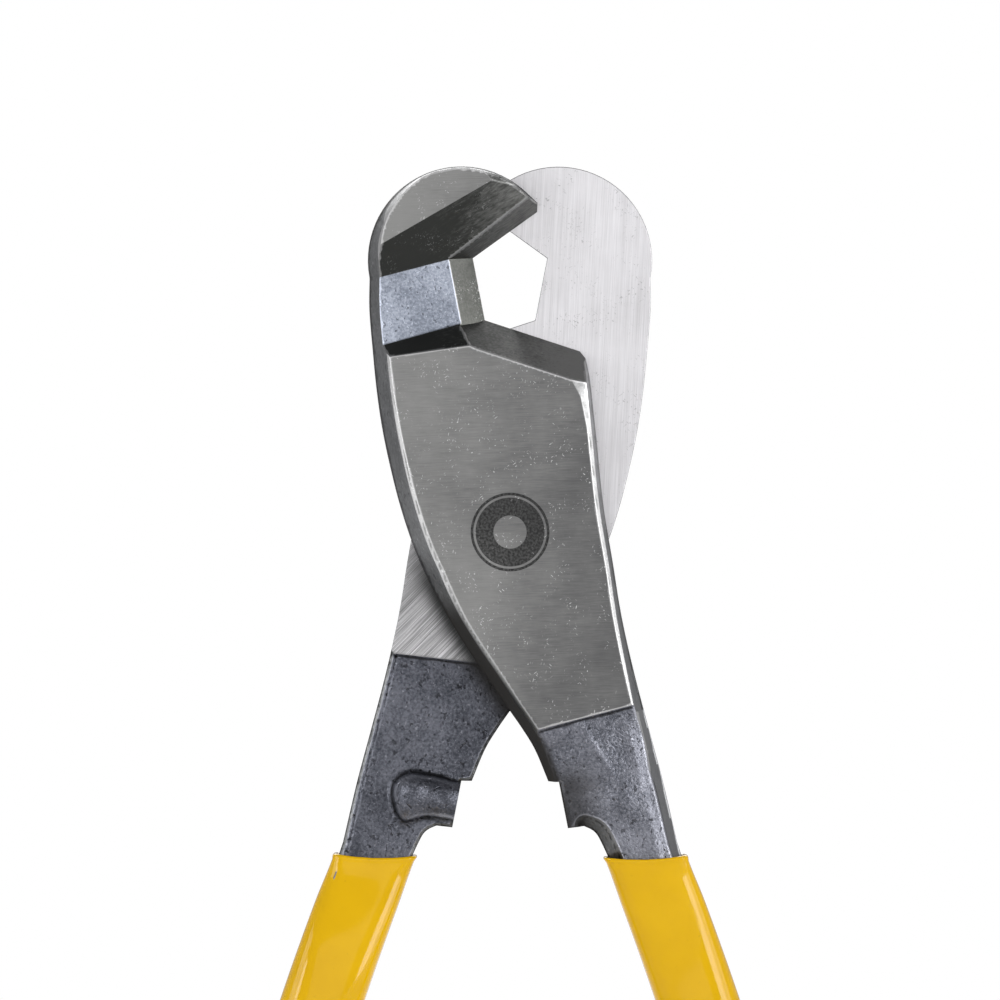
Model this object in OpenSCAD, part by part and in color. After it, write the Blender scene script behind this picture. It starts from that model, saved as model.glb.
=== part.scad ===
// Shearing cable cutter with two alike forged halves, a rear-fastened pivot and sleeved handles.
// Everything is drawn with the jaws closed, in the plane of the tool: x across, y towards the jaws,
// z from the shear plane towards the front. place() then opens the halves and stands the tool up.

/* [Opening] */
// Angle that each half is turned away from closed
rest_open = 11; // [0:0.5:30]

/* [Head] */
// Thickness of each forging, from the shear face to its ground outer face
head_t = 9; // [7:0.5:12]
// Distance from the pivot to the centre of the rounded crown
crown_y = 44.1; // [40:0.1:55]
// Radius of the rounded crown
crown_r = 15; // [13:0.1:17]
// Half width of the head at the pivot
head_half_w = 15.6; // [13:0.1:19]
// Gap between the two shear faces
shear_gap = 0.06; // [0.02:0.01:0.2]
// Depth that the ground outer face stands above the forged handle
plateau_step = 0.6; // [0.2:0.1:1.5]
// Distance from the pivot down to the lower edge of the ground outer face
plateau_low = 31; // [26:0.5:36]
// Distance from the pivot down to the lower edge of the shear face
shear_low = 22.1; // [18:0.1:25]

/* [Jaw] */
// Sideways position of the mouth's inner wall
mouth_x = 2.5; // [0:0.1:5]
// Lower end of the mouth's inner wall
mouth_low = 34; // [30:0.1:36]
// Height of the mouth's inner wall
mouth_h = 10.1; // [6:0.1:12]
// Slope of the upper cutting edge
upper_edge_angle = 25; // [15:1:35]
// Slope of the lower cutting edge
lower_edge_angle = 29; // [15:1:35]
// Thickness of the blade where the steep cutting bevel starts
land_h = 5.4; // [4:0.1:7]
// Width of the steep bevel behind the upper cutting edge
upper_land_w = 2.2; // [1.5:0.1:3]
// Width of the steep bevel behind the mouth's inner wall
wall_land_w = 4.1; // [2:0.1:6]
// Width of the bevel behind the lower cutting edge
lower_land_w = 4.9; // [3:0.1:7]

/* [Stop boss] */
// Distance from the pivot to the upper end of the stop face
boss_top = 40.6; // [38:0.1:44]
// Length of the stop face along the tool
boss_len = 7.6; // [5:0.1:10]
// Length of the boss across the handle
boss_w = 10.5; // [8:0.5:13]
// Height of the boss past the shear plane
boss_h = 4; // [2:0.1:5]
// Gap left between the two stop faces when the tool is closed
stop_gap = 0.1; // [0.05:0.01:0.3]

/* [Handle] */
// Sideways position of the handle's middle at the mouth of the grip
grip_x = 11.3; // [10:0.1:14]
// Distance from the pivot down to the mouth of the grip
grip_y = 54.8; // [54:0.1:70]
// Outward lean of the handle at the mouth of the grip
grip_lean = 10.4; // [6:0.1:14]
// Slant of the grip's mouth, whose outer side lies lower
mouth_slant = 9.4; // [0:0.1:15]
// Inward lean of the handle at its end
end_lean = 4; // [0:0.5:8]
// Radius that the handle is bowed to
bow_r = 500; // [400:10:700]
// Width of the handle at the mouth of the grip
neck_w = 11.1; // [10:0.1:12]
// Thickness of the forged handle above the grip
neck_t = 7; // [5:0.1:8]
// Width of the tang inside the grip
tang_w = 9.2; // [7:0.1:10]
// Thickness of the tang inside the grip
tang_t = 8; // [6:0.1:10]
// Length of the stretch in which the handle comes back to the middle of the tool
set_len = 22; // [16:1:30]

/* [Grip] */
// Width of the grip
grip_w = 13; // [12.7:0.1:18]
// Thickness of the grip
grip_t = 12; // [11:0.5:20]
// Corner radius of the grip's section
grip_round = 4.8; // [3:0.1:5]
// Wall of the grip at its mouth
lip_t = 0.8; // [0.5:0.1:1.2]
// Length of the stretch in which the grip grows from its mouth to its full section
swell_len = 40; // [20:1:60]
// Rounding of the grip's end
end_round = 4.5; // [2:0.5:5]
// Solid length of the grip past the tang
grip_end = 9; // [5:0.5:15]
// Clearance between the tang and the grip
grip_slack = 0.05; // [0.02:0.01:0.2]

/* [Pivot] */
// Diameter of the stud's bearing shoulder
shoulder_d = 12; // [10:0.5:14]
// Radial running clearance of the shoulder in the back half
running_clearance = 0.05; // [0.02:0.01:0.1]
// Diameter of the thread in the front half
root_thread_d = 10; // [8:0.5:11]
// Length of the thread in the front half
root_thread_len = 6; // [5:0.5:6.5]
// Diameter of the thread that carries the nut
nut_thread_d = 8; // [6:0.5:10]
// Depth of the counterbore in the back half
counterbore_depth = 2.6; // [1.5:0.1:3]
// Diameter of the counterbore
counterbore_d = 19; // [17:0.5:22]
// Diameter of the flat washer
washer_d = 17.4; // [15:0.1:17.4]
// Thickness of the flat washer
washer_t = 1.2; // [0.8:0.1:2]
// Diameter of the disc spring
spring_d = 16; // [14:0.5:17]
// Thickness of the disc spring's steel
spring_t = 0.8; // [0.5:0.1:1]
// Rise of the disc spring's cone
spring_rise = 0.4; // [0.2:0.1:0.6]
// Width of the nut across its flats
nut_af = 13; // [12:0.5:15]
// Height of the nut
nut_h = 6.4; // [5:0.1:8]
// Height of the nut's locking ring
insert_h = 2; // [1:0.1:2.4]
// Length of stud standing out of the nut
stud_proud = 0.8; // [0.2:0.1:2]
// Width across the flats of the stud's hexagon socket
socket_af = 3; // [2:0.5:4]
// Depth of the hexagon socket
socket_depth = 2.5; // [1:0.5:4]

/* [Hidden] */

$fn = 96;
far = 400;
spill = 1;
fit = 0.03;
half_gap = shear_gap / 2;
edge_land = 0.3;

// The forged rear of the handle lies this far in front of the shear plane
forged_back = half_gap + 0.4;

// The handle's bow: an arc about bow_c, measured by its angle from the x axis. The grip's bore is drawn
// from above_mouth degrees before the mouth
above_mouth = 2;
bow_c = [grip_x - bow_r * cos(grip_lean), -grip_y - bow_r * sin(grip_lean)];
arc_deg = 180 / (PI * bow_r);
tang_a = -end_lean + grip_end * arc_deg;
grip_len = (grip_lean + end_lean) / arc_deg;
neck_a = grip_lean - set_len * arc_deg;
bow_steps = 10;

// The handle's two faces come back to the middle of the tool between set_top and set_end
set_top = 4 - grip_y;
set_end = -grip_y - set_len;
set_steps = 8;

// Corner radius of the grip's section at the mouth, and the rings that its skin is drawn over
mouth_round = 2;
grip_rings = 14;
end_step = 20;

// Levels of the pivot's stack, from the shear plane to the rear
web_t = head_t - counterbore_depth;
washer_z = -web_t - fit;
spring_z = washer_z - washer_t;
nut_z = spring_z - spring_t - spring_rise;
nut_end_z = nut_z - nut_h;
stud_end_z = nut_end_z - stud_proud;
nut_r = nut_af / sqrt(3);
chamfer = 0.5;

// The washer's broken edge, the play of washer and spring round the thread, and the nut's rolled collar
washer_edge = 0.2;
thread_play = 0.2;
ring_r = nut_thread_d / 2 + thread_play;
collar_wall = 0.6;
collar_h = insert_h - 0.4;
collar_r = nut_af / 2 - collar_wall;
insert_r = collar_r - collar_wall;
insert_z = nut_end_z + 0.3;

// Corners of the mouth and of the hook's tip
wall_low = [mouth_x, mouth_low];
wall_top = [mouth_x, mouth_low + mouth_h];
heel_x = head_half_w + 0.9;
heel = [heel_x, mouth_low - (heel_x - mouth_x) * tan(lower_edge_angle)];
crown_c = [0.7, crown_y];
tip_a = 26;
tip_x = crown_r - 1;
tip = [tip_x, wall_top[1] + (tip_x - mouth_x) * tan(upper_edge_angle)];

// Points of the outline on the inner side, and how far the curves between them stand out
flank_low = [-head_half_w, 0.5];
flank_sag = 1.9;
taper_low = [-7.2, -24];
taper_sag = 0.9;
stop_foot = [-1.6, 0.3 - boss_top];
foot_sag = -0.6;

// Points of the outline on the outer side
shoulder = [head_half_w + 1.7, heel[1] - 2.4];
waist = [head_half_w - 0.3, 0];
handle_top = [head_half_w - 0.5, -shear_low];
handle_foot = [16.7, -49];
handle_sag = -0.15;

// Lines and slopes of the hollow between the crown and the ground outer face
crown_edge_a = 19;
crown_edge = [0, crown_y + 8.7];
crown_slope = 28;
floor_slope = 8;
floor_drop = 0.3;
heel_edge_y = mouth_low - 3.5;
heel_slope = 40;

// The stop boss is round, a little thinner than its stop face is long, and lies close to the upper end
boss_low = boss_top + boss_len;
boss_r = boss_len / 2 - 0.4;
boss_y = -boss_top - 0.1 - boss_r;

// The lug on the boss's other side, and the room below it
lug_t = 4;
lug_slope = 30;
lug_room = 3;

// The hollow curve from the stop face to the handle's inner edge, which it meets above the grip
notch_top = [2.6, -boss_low - 0.2];
notch_a = grip_lean + (grip_y - boss_low - 3.2) * arc_deg;
notch_sag = -0.7;

// Point on a circle about c
function on_arc(c, r, a) = [c[0] + r * cos(a), c[1] + r * sin(a)];

// Points on a circle about c from angle a0 to angle a1
function arc(c, r, a0, a1, n) = [for (i = [0:n]) on_arc(c, r, a0 + (a1 - a0) * i / n)];

// Points from p to q on a shallow curve that stands out by sag to the right of the way from p to q
function bow(p, q, sag, n) =
    let (d = q - p, side = [d[1], -d[0]] / norm(d))
    [for (i = [0:n]) let (t = i / n) p + d * t + side * 4 * sag * t * (1 - t)];

// A list of points in the other order
function back(list) = [for (i = [len(list) - 1:-1:0]) list[i]];

// Half width of the handle at an angle of its bow, narrowing from the neck to the tang
function half_w(a) =
    tang_w / 2 + (neck_w - tang_w) / 2 * min(1, max(0, (a - neck_a) / (grip_lean - neck_a)));

// 0 before the interval from x0 to x1 and 1 after it, with a smooth rise between
function ease(x, x0, x1) = let (t = min(1, max(0, (x - x0) / (x1 - x0)))) t * t * (3 - 2 * t);

// Height of the handle's middle over the shear plane, and half its thickness, at y
function handle_z(y) = (neck_t + forged_back) / 2 * (1 - ease(y, set_top, set_end));
function handle_half_t(y) =
    (neck_t - forged_back + (tang_t - neck_t + forged_back) * ease(y, set_top, set_end)) / 2;

// One face of the handle as [y, z] points, the front for side = 1
function handle_face(side, slack) =
    [for (i = [0:set_steps]) let (y = set_top + (set_end - set_top) * i / set_steps)
        [y, handle_z(y) + side * (handle_half_t(y) + slack)]];

// One edge of the handle from angle a0 down to the tang's end, the outer edge for side = 1
function tang_edge(side, slack, a0) =
    let (a1 = tang_a - slack * arc_deg)
    [for (i = [0:bow_steps])
        let (a = a0 + (a1 - a0) * i / bow_steps)
        on_arc(bow_c, bow_r + side * (half_w(a) + slack), a)];

// Outline of one forging, from the hook's tip over the crown, down the inner side and up the outer side
function outline() = concat(
    arc(crown_c, crown_r, tip_a, 180, 24),
    bow(crown_c - [crown_r, 0], flank_low, flank_sag, 10),
    bow(flank_low, taper_low, taper_sag, 6),
    bow(taper_low, stop_foot, foot_sag, 5),
    [[stop_gap / 2, -boss_top], [stop_gap / 2, -boss_low]],
    bow(notch_top, on_arc(bow_c, bow_r - half_w(notch_a), notch_a), notch_sag, 4),
    tang_edge(-1, 0, grip_lean),
    back(tang_edge(1, 0, grip_lean)),
    bow(handle_foot, handle_top, handle_sag, 4),
    [waist, shoulder, heel, wall_low, wall_top, tip]
);

// Sideways view of one forging as [y, z] points, grown by slack inside the grip
function profile(slack) = concat(
    [[far, head_t], [-plateau_low, head_t], [-plateau_low, head_t - plateau_step]],
    handle_face(1, slack),
    [[-far, tang_t / 2 + slack], [-far, -tang_t / 2 - slack]],
    back(handle_face(-1, slack)),
    [[-shear_low, forged_back], [-shear_low, half_gap], [far, half_gap]]
);

// A ring round the grip at angle a of the bow: a rounded rectangle of half width w, half thickness t
// and corner radius r, in a plane turned by skew from square to the handle
function grip_ring(a, w, t, r, skew) =
    let (c = on_arc(bow_c, bow_r, a), u = [cos(a + skew), sin(a + skew)] / cos(skew))
    [for (k = [0:3], i = [0:5])
        let (q = 90 * k + 18 * i,
             x = (w - r) * (k == 0 || k == 3 ? 1 : -1) + r * cos(q),
             z = (t - r) * (k < 2 ? 1 : -1) + r * sin(q))
        [c[0] + u[0] * x, c[1] + u[1] * x, handle_z(c[1]) + z]];

// The ring at a distance d along the grip, drawn in by inset
function grip_ring_at(d, inset) =
    let (a = grip_lean - d * arc_deg,
         y = bow_c[1] + bow_r * sin(a),
         g = ease(d, 0, swell_len),
         w = (neck_w / 2 + lip_t) * (1 - g) + grip_w / 2 * g,
         t = (handle_half_t(y) + lip_t) * (1 - g) + grip_t / 2 * g,
         r = mouth_round * (1 - g) + grip_round * g)
    grip_ring(a, w - inset, t - inset, r - inset, -(grip_lean + mouth_slant) * (1 - ease(d, 0, set_len)));

// A solid as wide as need be whose sideways view is the polygon of [y, z] points
module sideways(points) {
    rotate([90, 0, 90])
        translate([0, 0, -far / 2])
            linear_extrude(height = far)
                polygon(points);
}

// A plan outline as deep as need be
module plan(points) {
    translate([0, 0, -far / 4])
        linear_extrude(height = far / 2)
            polygon(points);
}

// All that lies above a plane, which passes z0 along the line through p at angle a and rises to the
// left of that line by slope degrees
module above(p, a, z0, slope) {
    translate([p[0], p[1], z0])
        rotate([0, 0, a])
            rotate([slope, 0, 0])
                translate([-far / 2, -far / 2, 0])
                    cube([far, far, far]);
}

// The hollow of the jaw between the crown and the ground outer face
module jaw_hollow() {
    intersection() {
        above(crown_edge, crown_edge_a, head_t, crown_slope);
        above(wall_low - [wall_land_w, 0], 90, land_h - floor_drop, floor_slope);
        above([0, heel_edge_y], 0, head_t, -heel_slope);
    }
}

// The funnel of steep bevels behind the mouth's three edges
module mouth_funnel() {
    rise = land_h - edge_land;
    intersection() {
        above(wall_top, upper_edge_angle, edge_land, atan(rise / upper_land_w));
        above(wall_low, 90, edge_land, atan(rise / wall_land_w));
        above(wall_low, -lower_edge_angle, edge_land, -atan((head_t - edge_land) / lower_land_w));
    }
}

// The lug's outer side is lower than the handle
module lug_relief() {
    intersection() {
        above([0, -boss_top], -90, lug_t, lug_slope);
        translate([-far / 2, -boss_low - lug_room, 0])
            cube([far, boss_len + lug_room + 0.5, far]);
    }
}

// The round-ended boss that reaches past the shear plane to meet its opposite number
module boss() {
    intersection() {
        translate([0, boss_y, boss_r - boss_h]) {
            rotate([0, 90, 0])
                cylinder(h = boss_w - boss_r, r = boss_r);
            translate([boss_w - boss_r, 0, 0])
                sphere(r = boss_r);
        }
        translate([stop_gap / 2, -boss_low, -far / 2])
            cube([far, boss_len, far / 2 + lug_t]);
    }
}

// One forging, ground but not yet machined for the pivot
module forging() {
    difference() {
        intersection() {
            plan(outline());
            sideways(profile(0));
        }
        jaw_hollow();
        mouth_funnel();
        lug_relief();
    }
    boss();
}

// One grip, round its tang: a skin over rings from the mouth down to the rounded end
module grip() {
    straight = grip_len - end_round;
    rings = concat([for (i = [0:grip_rings]) grip_ring_at(straight * i / grip_rings, 0)],
                   [for (q = [end_step:end_step:89])
                       grip_ring_at(straight + end_round * sin(q), end_round * (1 - cos(q)))]);
    n = len(rings[0]);
    m = len(rings);
    difference() {
        polyhedron(
            points = [for (ring = rings, p = ring) p],
            faces = concat(
                [[for (i = [0:n - 1]) i]],
                [for (j = [0:m - 2], i = [0:n - 1], half = [0, 1])
                    let (a = j * n + i, b = j * n + (i + 1) % n)
                    half == 0 ? [a, a + n, b] : [b, a + n, b + n]],
                [[for (i = [n - 1:-1:0]) (m - 1) * n + i]]));
        intersection() {
            plan(concat(tang_edge(-1, grip_slack, grip_lean + above_mouth),
                        back(tang_edge(1, grip_slack, grip_lean + above_mouth))));
            sideways(profile(grip_slack));
        }
    }
}

// A round piece on the pivot's axis from its half section, given as [radius, z] points
module turned(points) {
    rotate_extrude()
        polygon(points);
}

// Opens a half by its share of the opening and stands the tool up, with the front face at y = 0
module place(side) {
    translate([0, head_t, 0])
        rotate([90, 0, 0])
            rotate([0, 0, side * rest_open])
                children();
}

module front_half() {
    color([0.46, 0.46, 0.46])
        place(1)
            difference() {
                forging();
                translate([0, 0, -spill])
                    cylinder(h = spill + root_thread_len, d = root_thread_d);
            }
}

module back_half() {
    color([0.76, 0.76, 0.78])
        place(-1)
            rotate([0, 180, 0])
                difference() {
                    forging();
                    translate([0, 0, -spill])
                        cylinder(h = head_t + 2 * spill, d = shoulder_d + 2 * running_clearance);
                    translate([0, 0, web_t])
                        cylinder(h = head_t, d = counterbore_d);
                }
}

module pivot_stud() {
    color([0.30, 0.31, 0.33])
        place(1)
            difference() {
                turned([[0, root_thread_len], [root_thread_d / 2 - chamfer, root_thread_len],
                        [root_thread_d / 2, root_thread_len - chamfer], [root_thread_d / 2, half_gap],
                        [shoulder_d / 2, half_gap], [shoulder_d / 2, washer_z],
                        [nut_thread_d / 2, washer_z], [nut_thread_d / 2, stud_end_z + chamfer],
                        [nut_thread_d / 2 - chamfer, stud_end_z], [0, stud_end_z]]);
                translate([0, 0, stud_end_z - spill])
                    cylinder(h = socket_depth + spill, d = socket_af / cos(30), $fn = 6);
            }
}

module thrust_washer() {
    color([0.72, 0.72, 0.70])
        place(1)
            turned([[ring_r, washer_z], [washer_d / 2 - washer_edge, washer_z],
                    [washer_d / 2, washer_z - washer_edge], [washer_d / 2, spring_z], [ring_r, spring_z]]);
}

module disc_spring() {
    color([0.52, 0.50, 0.46])
        place(1)
            turned([[ring_r, spring_z - spring_rise], [spring_d / 2, spring_z],
                    [spring_d / 2, spring_z - spring_t], [ring_r, nut_z]]);
}

module lock_nut() {
    color([0.70, 0.71, 0.72])
        place(1)
            difference() {
                intersection() {
                    translate([0, 0, nut_end_z])
                        cylinder(h = nut_h, r = nut_r, $fn = 6);
                    turned([[0, nut_z], [nut_af / 2, nut_z], [nut_r, nut_z - chamfer],
                            [nut_r, nut_end_z + collar_h + chamfer], [nut_af / 2, nut_end_z + collar_h],
                            [collar_r, nut_end_z + collar_h], [collar_r, nut_end_z + chamfer],
                            [collar_r - chamfer, nut_end_z], [0, nut_end_z]]);
                }
                translate([0, 0, nut_end_z - spill])
                    cylinder(h = nut_h + 2 * spill, d = nut_thread_d);
                translate([0, 0, nut_end_z - spill])
                    cylinder(h = insert_h + spill, r = insert_r);
            }
}

module nut_insert() {
    color([0.15, 0.35, 0.70])
        place(1)
            turned([[nut_thread_d / 2, nut_end_z + insert_h], [insert_r, nut_end_z + insert_h],
                    [insert_r, insert_z], [nut_thread_d / 2, insert_z]]);
}

module front_grip() {
    color([0.85, 0.68, 0.05])
        place(1)
            grip();
}

module back_grip() {
    color([0.85, 0.68, 0.05])
        place(-1)
            rotate([0, 180, 0])
                grip();
}

front_half();
back_half();
pivot_stud();
thrust_washer();
disc_spring();
lock_nut();
nut_insert();
front_grip();
back_grip();
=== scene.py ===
"""The looks of a cable cutter: two alike forged halves, a pivot fastened at the rear and two dipped grips.

Each half is drawn in the plane of the closed tool, in millimetres: x across, y towards the jaws and z from
the shear plane towards the ground outer face. A half's two sides are reliefs, which are heights over that
plan, and the plan is cut along every line where two surfaces of a relief meet.
"""

import logging
import math
from collections.abc import Callable, Iterator
from dataclasses import dataclass
from enum import Enum

import bpy
import numpy as np
from mathutils import Matrix, Vector


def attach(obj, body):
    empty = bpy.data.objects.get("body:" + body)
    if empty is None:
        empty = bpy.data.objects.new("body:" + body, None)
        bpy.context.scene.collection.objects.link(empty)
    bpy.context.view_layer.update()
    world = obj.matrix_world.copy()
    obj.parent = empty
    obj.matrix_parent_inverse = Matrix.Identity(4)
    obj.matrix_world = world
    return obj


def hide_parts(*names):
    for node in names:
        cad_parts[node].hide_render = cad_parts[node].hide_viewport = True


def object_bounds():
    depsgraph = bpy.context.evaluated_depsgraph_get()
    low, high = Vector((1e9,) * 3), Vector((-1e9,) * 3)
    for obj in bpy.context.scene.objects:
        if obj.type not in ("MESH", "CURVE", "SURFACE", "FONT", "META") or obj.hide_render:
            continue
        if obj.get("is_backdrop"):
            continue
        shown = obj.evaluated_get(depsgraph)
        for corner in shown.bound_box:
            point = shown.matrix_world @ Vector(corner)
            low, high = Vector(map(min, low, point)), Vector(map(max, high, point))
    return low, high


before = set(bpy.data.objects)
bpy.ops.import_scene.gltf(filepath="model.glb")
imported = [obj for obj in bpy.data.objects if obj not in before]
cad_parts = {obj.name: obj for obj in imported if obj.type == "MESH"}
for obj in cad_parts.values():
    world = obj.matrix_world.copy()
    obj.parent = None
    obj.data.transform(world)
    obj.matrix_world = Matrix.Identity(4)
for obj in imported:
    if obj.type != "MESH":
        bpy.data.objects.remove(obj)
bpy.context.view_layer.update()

Array = np.ndarray
Material = bpy.types.Material
Socket = bpy.types.NodeSocket
Pair = tuple[float, float]
Triple = tuple[float, float, float]
Height = Callable[[Array], Array]
log = logging.getLogger("cable_cutter")
MM = 0.001
CLEAR = 20  # a height in millimetres that is past any surface of a half


# ---------------------------------------------------------------- plan curves


def smooth_through(knots: list[Pair], step: float = 0.7) -> Array:
    """Draws a smooth curve through given points.

    Args:
        knots: The points it passes, in order.
        step: Distance between the points that come back.

    Returns:
        Points along the curve, both ends among them.
    """
    k = np.array(knots, float)
    k = np.vstack([2 * k[0] - k[1], k, 2 * k[-1] - k[-2]])
    out = []
    for p0, p1, p2, p3 in zip(k, k[1:], k[2:], k[3:]):
        count = max(1, round(float(np.linalg.norm(p2 - p1)) / step))
        for t in np.arange(count) / count:
            out.append(
                0.5 * (2 * p1 + (p2 - p0) * t + (2 * p0 - 5 * p1 + 4 * p2 - p3) * t**2
                       + (3 * p1 - p0 - 3 * p2 + p3) * t**3)
            )
    return np.array(out + [k[-2]])


def circle_arc(centre: Pair, radius: float, start: float, end: float, count: int) -> Array:
    """Gives points on a circle from one angle in degrees to another."""
    a = np.radians(np.linspace(start, end, count + 1))
    return np.column_stack([centre[0] + radius * np.cos(a), centre[1] + radius * np.sin(a)])


def ease(value: Array, start: float, end: float) -> Array:
    """Rises smoothly from 0 at start to 1 at end."""
    t = np.clip((value - start) / (end - start), 0, 1)
    return t * t * (3 - 2 * t)


def ease_at(value: float, start: float, end: float) -> float:
    """Gives the same smooth rise for one number."""
    return float(ease(np.array([value]), start, end)[0])


def bell(value: Array, width: float) -> Array:
    """Gives 1 at 0 and falls away on both sides."""
    return np.exp(-((value / width) ** 2))


def gradient(value: Height, p: Array, nudge: float) -> Array:
    """Measures how steeply a function climbs at points.

    Args:
        value: The function, which takes plan points.
        p: The points.
        nudge: How far to each side it is measured.

    Returns:
        Its climb along x and along y at each point.
    """
    steps = (np.array([nudge, 0]), np.array([0, nudge]))
    return np.column_stack([(value(p + step) - value(p - step)) / (2 * nudge) for step in steps])


class Line:
    """A line of straight pieces that points can be measured from."""

    def __init__(self, points: Array) -> None:
        """Takes the line's own points."""
        self.points = points
        self.last: tuple[Array | None, Array | None] = (None, None)

    def away(self, p: Array) -> Array:
        """Measures how far points lie from the line.

        Args:
            p: The points. The answer for the latest array is kept, because a relief asks for it often.

        Returns:
            One distance a point.
        """
        if self.last[0] is not p:
            best = np.full(len(p), np.inf)
            x, y = p[:, 0].copy(), p[:, 1].copy()
            for (ax, ay), (bx, by) in zip(self.points, self.points[1:]):
                dx, dy = bx - ax, by - ay
                t = np.clip(((x - ax) * dx + (y - ay) * dy) / (dx * dx + dy * dy), 0, 1)
                best = np.minimum(best, (x - ax - t * dx) ** 2 + (y - ay - t * dy) ** 2)
            self.last = (p, np.sqrt(best))
        return self.last[1]


def inside(loop: Array, p: Array) -> Array:
    """Tells which points lie inside a closed loop.

    Args:
        loop: The loop's corners.
        p: The points.

    Returns:
        Whether each point is inside.
    """
    odd = np.zeros(len(p), bool)
    for a, b in zip(loop, np.roll(loop, -1, axis=0)):
        if a[1] != b[1]:
            across = (a[1] > p[:, 1]) != (b[1] > p[:, 1])
            odd ^= across & (p[:, 0] < (b[0] - a[0]) * (p[:, 1] - a[1]) / (b[1] - a[1]) + a[0])
    return odd


# ---------------------------------------------------------------- reliefs


class Skin(Enum):
    """The kinds of surface that a half shows."""

    GROUND = "ground"
    BEVEL = "bevel"
    CUT = "cut"
    BLASTED = "blasted"
    FORGED = "forged"
    DRAFT = "draft"
    LAND = "land"
    FLASH = "flash"
    SHEAR = "shear"


@dataclass(frozen=True)
class Crease:
    """A line where two surfaces meet: a function that is 0 along it and the joined surface's height."""

    value: Height
    height: Height


class Surface:
    """A height over the plan, with the skin that it wears."""

    def height(self, p: Array) -> Array:
        """Gives the height over each plan point."""
        raise NotImplementedError

    def skins(self, p: Array) -> Array:
        """Gives the skin over each plan point."""
        raise NotImplementedError

    def creases(self) -> Iterator[Crease]:
        """Yields the lines to cut in the plan."""
        return iter(())


@dataclass(frozen=True)
class Face(Surface):
    """A surface whose height is one formula."""

    formula: Height
    skin: Skin

    def height(self, p: Array) -> Array:
        """Gives the height over each plan point."""
        return self.formula(p)

    def skins(self, p: Array) -> Array:
        """Gives the face's one skin at every point."""
        return np.full(len(p), self.skin, object)


def flat(z: float, skin: Skin) -> Face:
    """A level face."""
    return Face(lambda p: np.full(len(p), float(z)), skin)


def slope(through: Pair, angle: float, z: float, rise: float, skin: Skin) -> Face:
    """A plane that passes z along a line and climbs to the left of it.

    Args:
        through: A point on the line.
        angle: The line's direction in degrees.
        z: The height along the line.
        rise: How steeply the plane climbs, in degrees.
        skin: What it wears.

    Returns:
        The face.
    """
    a, k = math.radians(angle), math.tan(math.radians(rise))
    left = np.array([-math.sin(a), math.cos(a)])
    return Face(lambda p: z + k * ((p - np.array(through)) @ left), skin)


@dataclass(frozen=True)
class Relief(Surface):
    """Two surfaces joined: the lower of the two or the higher, with a rounded edge between them."""

    first: Surface
    second: Surface
    higher: bool
    edge: float

    def height(self, p: Array) -> Array:
        """Gives the joined height, rounded where the two are within one edge of each other.

        Args:
            p: The plan points.

        Returns:
            One height a point.
        """
        a, b = self.first.height(p), self.second.height(p)
        sign = -1.0 if self.higher else 1.0
        h = np.clip(0.5 + 0.5 * sign * (b - a) / self.edge, 0, 1)
        return b * (1 - h) + a * h - sign * self.edge * h * (1 - h)

    def skins(self, p: Array) -> Array:
        """Gives the skin of the surface that shows."""
        a, b = self.first.height(p), self.second.height(p)
        return np.where((a > b) == self.higher, self.first.skins(p), self.second.skins(p))

    def creases(self) -> Iterator[Crease]:
        """Yields the meeting line with the two edges of its rounding, after the lines of both surfaces."""
        yield from self.first.creases()
        yield from self.second.creases()
        for share in (0.0, -1.0, 1.0):
            yield Crease(lambda p, s=share: self.first.height(p) - self.second.height(p) - s * self.edge,
                         self.height)


def under(first: Surface, second: Surface, edge: float = 0.15) -> Relief:
    """Keeps the lower of two surfaces."""
    return Relief(first, second, False, edge)


def over(first: Surface, second: Surface, edge: float = 0.15) -> Relief:
    """Keeps the higher of two surfaces."""
    return Relief(first, second, True, edge)


# ---------------------------------------------------------------- the plan mesh


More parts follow.
